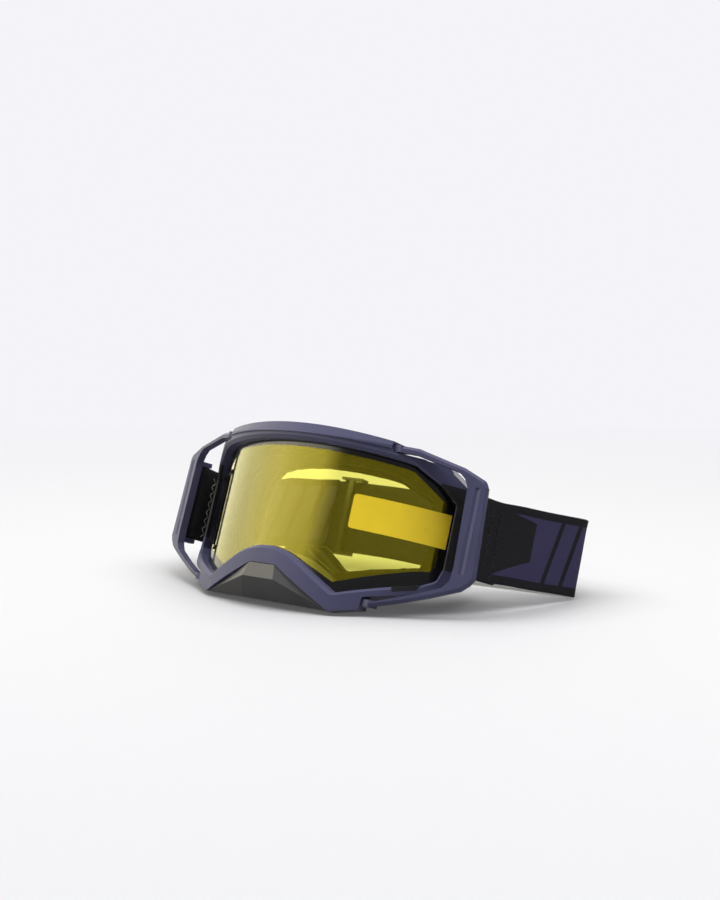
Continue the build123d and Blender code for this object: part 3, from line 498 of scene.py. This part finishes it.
def finish_thread(name, base):
    """Twisted sewing thread."""
    f = Finish(name)
    twist = f.noise(6000.0, 2.0)
    # Painted shading: darker in the grooves of the twist, where the bump sinks.
    tone = f.mix(twist, [c * 0.7 for c in base], base)
    return f.principled(Base_Color=tone, Roughness=0.7, Normal=f.bump(twist, 0.4, 0.0001))


# ------------------------------------------------------------------------------ making pieces
def paint(name, material):
    """Gives a CAD node's material slots a finish."""
    for slot in frame["nodes"][name].material_slots:
        slot.material = material


def place_piece(name, bm, materials):
    """Makes an object of a bmesh drawn in the upright frame, in metres."""
    mesh = bpy.data.meshes.new(name)
    bm.to_mesh(mesh)
    bm.free()
    mesh.transform(UPRIGHT)
    for material in materials:
        mesh.materials.append(material)
    for face in mesh.polygons:
        face.use_smooth = True
    piece = bpy.data.objects.new(name, mesh)
    bpy.context.scene.collection.objects.link(piece)
    return piece


def heading(degrees):
    """Unit direction in plan."""
    return Vector((math.cos(math.radians(degrees)), math.sin(math.radians(degrees))))


def spot(plan, z):
    """A spot above a place in plan."""
    return Vector((plan[0], plan[1], z))


def loop_round(centre, degrees, z, side, tab):
    """Route of a sewn end: along one face of the tab, round the bar and back along the other face."""
    run = heading(degrees)
    off = Vector((run.y, -run.x)) * side
    middle = Vector(centre)
    route = [spot(middle + run * reach + off * LAYER, z + rise)
             for reach, rise in ((tab + 8.0, 1.7), (tab, 0.8), (14.0, 0.2), (8.5, 0.0))]
    for step in range(11):
        turn = math.radians(55.0 + step * 25.0)
        around = run * math.cos(turn) + off * math.sin(turn)
        route.append(spot(middle + around * LOOP_RADIUS, z))
    route += [spot(middle + run * reach - off * LAYER, z) for reach in (8.5, 14.0, tab)]
    return route


def arc(centre, radius, start, stop, z_start, z_stop, steps):
    """Route along an arc in plan, from one angle in degrees to another."""
    route = []
    for step in range(steps + 1):
        part = step / steps
        turn = heading(start + (stop - start) * part)
        route.append(spot(Vector(centre) + turn * radius, z_start + (z_stop - z_start) * part))
    return route


def run_spot(along, across=0.0, z=RUN_Z):
    """Spot of the run behind the foam: distance along it, then away from the head."""
    way = heading(RUN_HEADING)
    return spot(Vector(RUN_START) + way * along + Vector((-way.y, way.x)) * across, z)


def left_spot(along, across, z=RING_Z):
    """Spot of the left side run: distance from the strap bar, then towards the head."""
    way = heading(LEFT_HEADING)
    return spot(Vector(LEFT_BAR) + way * along + Vector((way.y, -way.x)) * across, z)


def ring_loop(bar, degrees):
    """Turns of webbing round one bar of the ring."""
    turns = [math.radians(turn) for turn in degrees]
    return [left_spot(bar + RING_LOOP * math.cos(turn), RING_LOOP * math.sin(turn)) for turn in turns]


def eased(route):
    """Cuts the route's corners twice, ends kept."""
    for _ in range(2):
        cut = [route[0]]
        for a, b in zip(route, route[1:]):
            cut += [a.lerp(b, 0.25), a.lerp(b, 0.75)]
        route = cut + [route[-1]]
    return route


class Course:
    """A smooth route measured by its length in plan."""

    def __init__(self, route):
        self.spots = eased(route)
        self.lengths = [0.0]
        for a, b in zip(self.spots, self.spots[1:]):
            self.lengths.append(self.lengths[-1] + (b - a).to_2d().length)
        self.total = self.lengths[-1]

    def at(self, length):
        """Spot and heading at a length along the route."""
        length = min(max(length, 0.0), self.total)
        low, high = 0, len(self.lengths) - 1
        while high - low > 1:
            middle = (low + high) // 2
            if self.lengths[middle] <= length:
                low = middle
            else:
                high = middle
        a, b = self.spots[low], self.spots[high]
        part = (length - self.lengths[low]) / max(self.lengths[high] - self.lengths[low], 1e-9)
        way = (self.spots[min(high + 1, len(self.spots) - 1)] - self.spots[max(low - 1, 0)]).to_2d()
        return a.lerp(b, part), way.normalized()


def webbing(name, course, half_width, materials, wave, seed):
    """A strap laid on edge along a course: a grid with its flat lengths as UV, then bent and thickened."""
    bm = bmesh.new()
    steps = int(course.total / STRAP_STEP)
    bmesh.ops.create_grid(bm, x_segments=steps, y_segments=STRAP_ROWS, size=0.5)
    flat = bm.loops.layers.uv.new("Flat")
    lay = {}
    for vert in bm.verts:
        along = (vert.co.x + 0.5) * course.total
        across = vert.co.y * 2.0
        half = half_width(along)
        middle, way = course.at(along)
        off = Vector((way.y, -way.x))
        ripple = noise.noise(Vector((along * 0.03 + seed, across * 0.8, seed))) * wave
        curl = -STRAP_CURL * abs(across) ** 6
        lay[vert.index] = (along * MM, across * half * MM)
        vert.co = Vector((middle.x + off.x * (ripple + curl), middle.y + off.y * (ripple + curl),
                          middle.z + across * half)) * MM
    for face in bm.faces:
        for loop in face.loops:
            loop[flat].uv = lay[loop.vert.index]
    piece = place_piece(name, bm, materials)
    wall = piece.modifiers.new("Webbing", "SOLIDIFY")
    wall.thickness = sizes().strap_thick
    wall.offset = 0.0
    wall.use_rim = True
    wall.material_offset = len(materials) - 1
    rounding = piece.modifiers.new("Rolled edge", "BEVEL")
    rounding.width = 0.0005
    rounding.segments = 2
    rounding.limit_method = "ANGLE"
    rounding.angle_limit = math.radians(50)
    return piece


RIGHT_COURSE = Course(
    [run_spot(-8.8, -INSET), run_spot(-14.0, -INSET, RUN_Z - 0.5), run_spot(-26.0, -INSET, RUN_Z - 1.6)]
    + arc(LEFT_BEND, LEFT_BEND_RADIUS - INSET, 96.0, 172.0, RUN_Z - 2.2, LEFT_BEND_Z, 8)
    + ring_loop(RING_BARS[1], range(70, 291, 22))
    + arc(LEFT_BEND, LEFT_BEND_RADIUS, 168.0, 94.9, LEFT_BEND_Z + 0.4, RUN_Z - 2.2, 7)
    + [run_spot(-26.0, 0.0, RUN_Z - 1.6), run_spot(-14.0, 0.0, RUN_Z - 0.5), run_spot(0.0), run_spot(16.0),
       run_spot(34.0, 0.2), run_spot(60.0, 0.4, RUN_Z - 1.4), run_spot(84.0, 0.3, RUN_Z - 3.2),
       run_spot(112.0, 0.1, CORNER_Z + 1.6), run_spot(128.0, 0.0, CORNER_Z + 0.6)]
    + arc(CORNER, CORNER_RADIUS, 94.0, -17.0, CORNER_Z + 0.3, CORNER_Z - 0.4, 9)
    + [spot((110.4, 84.0), CORNER_Z - 1.8), spot((106.2, 70.0), CORNER_Z - 3.35)]
    + loop_round(STRAP_BAR, RIGHT_HEADING, STRAP_BAR_Z, 1, TAB_LENGTH))

LEFT_COURSE = Course(
    [left_spot(12.0, LAYER, STRAP_BAR_Z), left_spot(17.0, LAYER, STRAP_BAR_Z),
     left_spot(21.5, 1.7, RING_Z - 0.6)]
    + ring_loop(RING_BARS[0], range(110, -111, -22))
    + [left_spot(21.5, -1.7, RING_Z - 0.6)]
    + loop_round(LEFT_BAR, LEFT_HEADING, STRAP_BAR_Z, -1, TAB_LENGTH)[1:-2]
    + [left_spot(11.6, LAYER, STRAP_BAR_Z)])


class GOGGLES_OT_shell(bpy.types.Operator):
    """Finish the moulded shell: front frame, brow bar, outriggers, nose guard and inner frame"""
    bl_idname = "goggles.shell"
    bl_label = "Finish the shell"

    def execute(self, context):
        shell = finish_shell()
        for name in ("brow_bar", "outrigger_right", "outrigger_left"):
            paint(name, shell)
        paint("front_frame", finish_shell("front_frame"))
        paint("nose_guard", finish_guard())
        rubber = finish_rubber()
        for name in ("inner_frame", "side_band_right", "side_band_left", "rim_badge"):
            paint(name, rubber)
        return {"FINISHED"}


class GOGGLES_OT_lens(bpy.types.Operator):
    """Finish the lens, its black border and the blank label"""
    bl_idname = "goggles.lens"
    bl_label = "Finish the lens"

    def execute(self, context):
        paint("lens", finish_lens())
        paint("lens_seal", finish_border())
        paint("lens_label", finish_label())
        return {"FINISHED"}


class GOGGLES_OT_hardware(bpy.types.Operator):
    """Finish the strap hardware and hinge pins"""
    bl_idname = "goggles.hardware"
    bl_label = "Finish the hardware"

    def execute(self, context):
        acetal = finish_hardware()
        for name in ("strap_ring", "strap_slider"):
            paint(name, acetal)
        steel = finish_pin()
        for name in frame["nodes"]:
            if name.startswith("hinge_pin"):
                paint(name, steel)
        return {"FINISHED"}


# Frames in which the foam's cloth settles
CLOTH_FRAMES = 20


def puff(piece, cap):
    """Cloth under light pressure rounds a pad; no point moves further than the cap."""
    scene = bpy.context.scene
    mesh = piece.data
    cloth = piece.modifiers.new("Cloth", "CLOTH")
    cloth.settings.quality = 4
    cloth.settings.use_pressure = True
    cloth.settings.uniform_pressure_force = 4.0
    cloth.settings.effector_weights.gravity = 0.0
    for step in range(1, CLOTH_FRAMES + 1):
        scene.frame_set(step)
    graph = bpy.context.evaluated_depsgraph_get()
    puffed = bpy.data.meshes.new_from_object(piece.evaluated_get(graph))
    for vert, moved in zip(mesh.vertices, puffed.vertices):
        shift = moved.co - vert.co
        vert.co += shift * min(1.0, cap / max(shift.length, 1e-9))
    piece.modifiers.clear()
    bpy.data.meshes.remove(puffed)
    scene.frame_set(1)


def soft_copy(node, name, voxel, material, cushion=0.0):
    """A softened copy of a foam solid: remeshed, smoothed, puffed up to a cushion and lightly uneven."""
    mesh = frame["nodes"][node].data.copy()
    mesh.name = name
    bm = bmesh.new()
    bm.from_mesh(mesh)
    bmesh.ops.remove_doubles(bm, verts=bm.verts, dist=1e-6)
    bm.to_mesh(mesh)
    bm.free()
    piece = bpy.data.objects.new(name, mesh)
    bpy.context.scene.collection.objects.link(piece)
    remesh = piece.modifiers.new("Remesh", "REMESH")
    remesh.mode = "VOXEL"
    remesh.voxel_size = voxel
    smooth = piece.modifiers.new("Smooth", "SMOOTH")
    smooth.factor = 0.5
    smooth.iterations = 4
    graph = bpy.context.evaluated_depsgraph_get()
    made = bpy.data.meshes.new_from_object(piece.evaluated_get(graph))
    piece.modifiers.clear()
    piece.data = made
    made.materials.clear()
    made.materials.append(material)
    if cushion:
        puff(piece, cushion)
    for vert in made.vertices:
        vert.co += vert.normal * noise.noise(vert.co * 160.0) * 0.00025
    for face in made.polygons:
        face.use_smooth = True
    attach(piece, "frame")
    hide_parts(node)


class GOGGLES_OT_foam(bpy.types.Operator):
    """Make the three foam layers and finish the vent foam"""
    bl_idname = "goggles.foam"
    bl_label = "Make the foam"

    def execute(self, context):
        base = finish_foam("foam_base", (0.012, 0.012, 0.014), (0.035, 0.035, 0.04), 2600.0, 0.0002)
        core = finish_foam("foam_core", (0.020, 0.020, 0.024), (0.075, 0.075, 0.085), 1500.0, 0.0004)
        vent = finish_foam("foam_vent", (0.008, 0.008, 0.009), (0.04, 0.04, 0.044), 1100.0, 0.0005)
        soft_copy("foam_base", "foam_base_soft", 0.0011, base)
        soft_copy("foam_core", "foam_core_soft", 0.0014, core)
        soft_copy("foam_face", "foam_face_soft", 0.0012, finish_fleece(), cushion=0.0004)
        paint("vent_foam", vent)
        return {"FINISHED"}


def strap_half(length):
    """Half the long strap's width, the same all along."""
    return sizes().strap_width / MM / 2


class GOGGLES_OT_long_strap(bpy.types.Operator):
    """Lay the long strap from slider and ring round the rear bend to the right outrigger"""
    bl_idname = "goggles.long_strap"
    bl_label = "Lay the long strap"

    def execute(self, context):
        # Flat lengths start at the slider, so the print is counted back from where the strap meets its bar.
        sewn_end = (RIGHT_COURSE.total - TAB_LENGTH - math.pi * LOOP_RADIUS) * MM
        printed = finish_printed(sewn_end)
        piece = webbing("strap_long", RIGHT_COURSE, strap_half, [finish_webbing("webbing_plain"), printed],
                        wave=0.2, seed=3.0)
        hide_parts("strap_main", "strap_end_right", "strap_return")
        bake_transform(piece)
        return {"FINISHED"}


class GOGGLES_OT_short_strap(bpy.types.Operator):
    """Lay the short strap from the ring round the left bend to the left outrigger"""
    bl_idname = "goggles.short_strap"
    bl_label = "Lay the short strap"

    def execute(self, context):
        wide = sizes().strap_width / MM / 2
        narrow = sizes().short_width / MM / 2

        def half(length):
            reach = (LEFT_COURSE.at(length)[0].to_2d() - Vector(LEFT_BAR)).length
            share = min(max((24.0 - reach) / 5.0, 0.0), 1.0)
            return narrow + (wide - narrow) * share * share * (3 - 2 * share)

        piece = webbing("strap_short_laid", LEFT_COURSE, half, [finish_webbing("webbing_short")],
                        wave=0.15, seed=9.0)
        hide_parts("strap_short", "strap_end_left")
        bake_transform(piece)
        return {"FINISHED"}


def stitched(name, lines, body, material):
    """Stitches as small round threads laid along lines of spots, upright millimetres."""
    bm = bmesh.new()
    radius = sizes().thread / 2
    for a, b in lines:
        way = (b - a) * MM
        turn = way.to_track_quat("Z", "Y").to_matrix().to_4x4()
        grow = Matrix.Diagonal((1.0, 1.0, way.length, 1.0))
        place = Matrix.Translation((a + b) * 0.5 * MM) @ turn @ grow
        bmesh.ops.create_cone(bm, cap_ends=True, segments=6, radius1=radius, radius2=radius, depth=1.0,
                              matrix=place)
    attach(place_piece(name, bm, [material]), body)


def zigzag(centre, degrees, z, side, half):
    """Two zigzag rows up the tab's face, the first where the loop's layers meet."""
    run = heading(degrees)
    off = Vector((run.y, -run.x)) * side
    pitch = sizes().stitch_pitch / MM
    lift = LAYER + sizes().strap_thick / MM / 2 + STITCH_LIFT
    lines = []
    for row in STITCH_ROWS:
        count = int(2 * half / pitch)
        spots = []
        for index in range(count + 1):
            reach = row + (STITCH_SWING if index % 2 else -STITCH_SWING)
            flare = max(0.0, 8.5 - reach) * 0.2
            spots.append(spot(Vector(centre) + run * reach + off * (lift + flare), z - half + index * pitch))
        lines += [(a.lerp(b, 0.06), b.lerp(a, 0.06)) for a, b in zip(spots, spots[1:])]
    return lines


class GOGGLES_OT_stitching(bpy.types.Operator):
    """Sew the two strap ends with zigzag rows"""
    bl_idname = "goggles.stitching"
    bl_label = "Sew the strap ends"

    def execute(self, context):
        half = sizes().strap_width / MM / 2 - STITCH_MARGIN
        light = finish_thread("thread_light", colours().thread)
        dark = finish_thread("thread_dark", [c * 2.0 for c in colours().webbing])
        for side, face in ((1, "outer"), (-1, "inner")):
            lines = zigzag(STRAP_BAR, RIGHT_HEADING, STRAP_BAR_Z, side, half)
            stitched("stitches_right_" + face, lines, "outrigger_right", dark)
        for side, face, thread in ((-1, "outer", dark), (1, "inner", light)):
            lines = zigzag(LEFT_BAR, LEFT_HEADING, STRAP_BAR_Z, side, half)
            stitched("stitches_left_" + face, lines, "outrigger_left", thread)
        return {"FINISHED"}


# Radius and height of the studio's sweep, metres
SWEEP_PROFILE = ((1.2, 0.0), (2.2, 0.0), (2.9, 0.12), (3.4, 0.5), (3.7, 1.1), (3.8, 2.4), (3.8, 4.5))

# The camera's axes in the upright frame and its place along them in millimetres, then the way it looks
# over the leaned goggles, in degrees, and its lens
CAMERA_AXES = ((0.7863, 0.5810, 0.2102), (-0.0667, -0.2577, 0.9639), (0.6142, -0.7720, -0.1639))
CAMERA_PLACE = (38.084, 32.615, 764.08)
CAMERA_AZIMUTH = 38.15
CAMERA_ELEVATION = 6.23
CAMERA_LENS = 60.9
CAMERA_SENSOR = 36.0


def around(azimuth, elevation, distance):
    """A place round the goggles: degrees from straight in front towards the wearer's left, degrees up."""
    turn, rise = math.radians(azimuth), math.radians(elevation)
    flat = math.cos(rise) * distance
    return Vector((math.sin(turn) * flat, -math.cos(turn) * flat, math.sin(rise) * distance + 0.04))


def softbox(name, location, aim, width, height, strength):
    """A rectangular lamp that lights the goggles and isn't mirrored in them."""
    lamp = bpy.data.lights.new(name, "AREA")
    lamp.shape = "RECTANGLE"
    lamp.size = width
    lamp.size_y = height
    lamp.energy = strength
    made = bpy.data.objects.new(name, lamp)
    made.location = location
    made.rotation_euler = (Vector(aim) - Vector(location)).to_track_quat("-Z", "Y").to_euler()
    made.visible_glossy = False
    made.visible_transmission = False
    bpy.context.scene.collection.objects.link(made)


def finish_paper():
    """Pale paper that keeps the shadow near the goggles, with a painted shadow added there, and glows as the
    backdrop far from them.

    Shiny pieces mirror a painted reflection instead: a glow over a bright half of the studio that only glossy
    rays see, which ends in front of them.
    """
    f = Finish("studio_paper")
    seen = f.node("ShaderNodeLightPath").socket.node.outputs
    camera, glossy, through = (Wire(f, seen[index]) for index in (0, 3, 6))
    x, y, height = f.split(f.place())
    away = (x * x + y * y).math("SQRT")
    turned = (y * math.sin(EDGE) - x * math.cos(EDGE)) / away
    # Painted shadow: ambient occlusion darkens the paper where the goggles stand close over it.
    open_sky = f.node("ShaderNodeAmbientOcclusion", {"samples": 8}, out=1, Distance=0.05)
    paper_painted_shadow = f.mix(open_sky, (0.08, 0.08, 0.085), (0.54, 0.54, 0.55))
    paper = f.node("ShaderNodeBsdfPrincipled", None, Base_Color=paper_painted_shadow, Roughness=0.8)
    glow = f.node("ShaderNodeEmission", None, Color=tuple(colours().backdrop), Strength=1.0)
    # Painted reflection: a glow that only glossy rays see, bright over one half of the studio and dim
    # elsewhere; the bright half has a soft edge and fades at its far side, towards the floor and near the
    # goggles.
    bright = turned.span(-0.13, 0.12) * (0.62 + turned * 0.52) * (1.0 - turned.span(0.66, 0.95) * 0.45)
    bright = bright * (0.5 + (height / away).span(-0.12, 0.25) * 0.5)
    bright = bright * away.span(0.06, 0.35)
    mirrored = f.mix(bright, (0.05, 0.05, 0.05), (1.0, 0.95, 0.74))
    painted_reflection_glow = f.node("ShaderNodeEmission", None, Color=mirrored, Strength=4.7)
    # Seen straight or through the lens, the glow takes over from the paper between 0.15 m and 1 m.
    share = (camera + through).math("MINIMUM", 1.0) * (away.span(0.15, 1.0) * 0.9 + 0.1)
    share = (share + through * 0.2).math("MINIMUM", 1.0)
    lit = f.node("ShaderNodeMixShader", None, share, paper, glow)
    mixed = f.node("ShaderNodeMixShader", None, glossy * (1.0 - through), lit, painted_reflection_glow)
    f.links.new(mixed.socket, f.output.inputs[0])
    return f.material


class GOGGLES_OT_studio(bpy.types.Operator):
    """Set up the pale sweep, the softboxes and the camera"""
    bl_idname = "goggles.studio"
    bl_label = "Set up the studio"

    def execute(self, context):
        self.sweep()
        self.lamps()
        self.world()
        self.camera()
        return {"FINISHED"}

    def sweep(self):
        """A floor that curves up all round, far from the goggles."""
        bm = bmesh.new()
        bmesh.ops.create_circle(bm, cap_ends=False, radius=0.02, segments=96)
        ring = list(bm.edges)
        bmesh.ops.contextual_create(bm, geom=ring)
        for radius, rise in SWEEP_PROFILE:
            made = bmesh.ops.extrude_edge_only(bm, edges=ring)
            verts = [e for e in made["geom"] if isinstance(e, bmesh.types.BMVert)]
            ring = [e for e in made["geom"] if isinstance(e, bmesh.types.BMEdge)]
            for vert in verts:
                plan = vert.co.to_2d().normalized() * radius
                vert.co = (plan.x, plan.y, rise)
        bmesh.ops.recalc_face_normals(bm, faces=bm.faces)
        mesh = bpy.data.meshes.new("studio_sweep")
        bm.to_mesh(mesh)
        bm.free()
        for face in mesh.polygons:
            face.use_smooth = True
        mesh.materials.append(finish_paper())
        sweep = bpy.data.objects.new("studio_sweep", mesh)
        bpy.context.scene.collection.objects.link(sweep)

    def lamps(self):
        """Softboxes above and high on both sides; shiny pieces mirror the sweep's bright half, a painted
        reflection glow, instead.
        """
        softbox("softbox_top", (0.0, 0.0, 1.7), (0.0, 0.0, 0.0), 1.6, 1.2, 31.0)
        softbox("softbox_key", around(-55.0, 54.0, 1.8), (0.0, 0.0, 0.04), 1.0, 0.8, 11.0)
        softbox("softbox_right", around(100.0, 52.0, 1.8), (0.05, 0.0, 0.03), 0.8, 0.8, 9.0)

    def world(self):
        world = bpy.context.scene.world or bpy.data.worlds.new("World")
        bpy.context.scene.world = world
        world.use_nodes = True
        back = world.node_tree.nodes["Background"]
        back.inputs[0].default_value = (0.95, 0.96, 1.0, 1.0)
        back.inputs[1].default_value = 0.55

    def camera(self):
        """A long lens, a little above the table, from the wearer's left."""
        seat = sum((Vector(axis) * reach for axis, reach in zip(CAMERA_AXES, CAMERA_PLACE)), Vector()) * MM
        azimuth = math.radians(CAMERA_AZIMUTH)
        elevation = math.radians(CAMERA_ELEVATION)
        away = Vector((math.sin(azimuth) * math.cos(elevation), -math.cos(azimuth) * math.cos(elevation),
                       math.sin(elevation)))
        lens = bpy.data.cameras.new("camera")
        lens.lens = CAMERA_LENS
        lens.sensor_width = CAMERA_SENSOR
        made = bpy.data.objects.new("camera", lens)
        made.location = UPRIGHT @ seat
        made.rotation_mode = "QUATERNION"
        made.rotation_quaternion = away.to_track_quat("Z", "Y")
        bpy.context.scene.collection.objects.link(made)
        bpy.context.scene.camera = made


class GOGGLES_PT_panel(bpy.types.Panel):
    """Buttons and sizes of the goggles"""
    bl_idname = "GOGGLES_PT_panel"
    bl_label = "Goggles"
    bl_space_type = "VIEW_3D"
    bl_region_type = "UI"
    bl_category = "Goggles"

    def draw(self, context):
        for operator in OPERATORS:
            self.layout.operator(operator.bl_idname)
        for group in (context.scene.goggles_sizes, context.scene.goggles_colours):
            for name in group.__annotations__:
                self.layout.prop(group, name)


OPERATORS = (
    GOGGLES_OT_studio,
    GOGGLES_OT_shell,
    GOGGLES_OT_lens,
    GOGGLES_OT_hardware,
    GOGGLES_OT_foam,
    GOGGLES_OT_long_strap,
    GOGGLES_OT_short_strap,
    GOGGLES_OT_stitching,
)
GROUPS = (GogglesSizes, GogglesColours)


def register():
    for part in (*GROUPS, *OPERATORS, GOGGLES_PT_panel):
        bpy.utils.register_class(part)
    bpy.types.Scene.goggles_sizes = PointerProperty(type=GogglesSizes)
    bpy.types.Scene.goggles_colours = PointerProperty(type=GogglesColours)


def unregister():
    del bpy.types.Scene.goggles_colours
    del bpy.types.Scene.goggles_sizes
    for part in reversed((*GROUPS, *OPERATORS, GOGGLES_PT_panel)):
        bpy.utils.unregister_class(part)


def main():
    register()
    bpy.context.scene.view_settings.view_transform = "Standard"
    for operator in OPERATORS:
        group, name = operator.bl_idname.split(".")
        getattr(getattr(bpy.ops, group), name)()


if __name__ == "__main__":
    main()
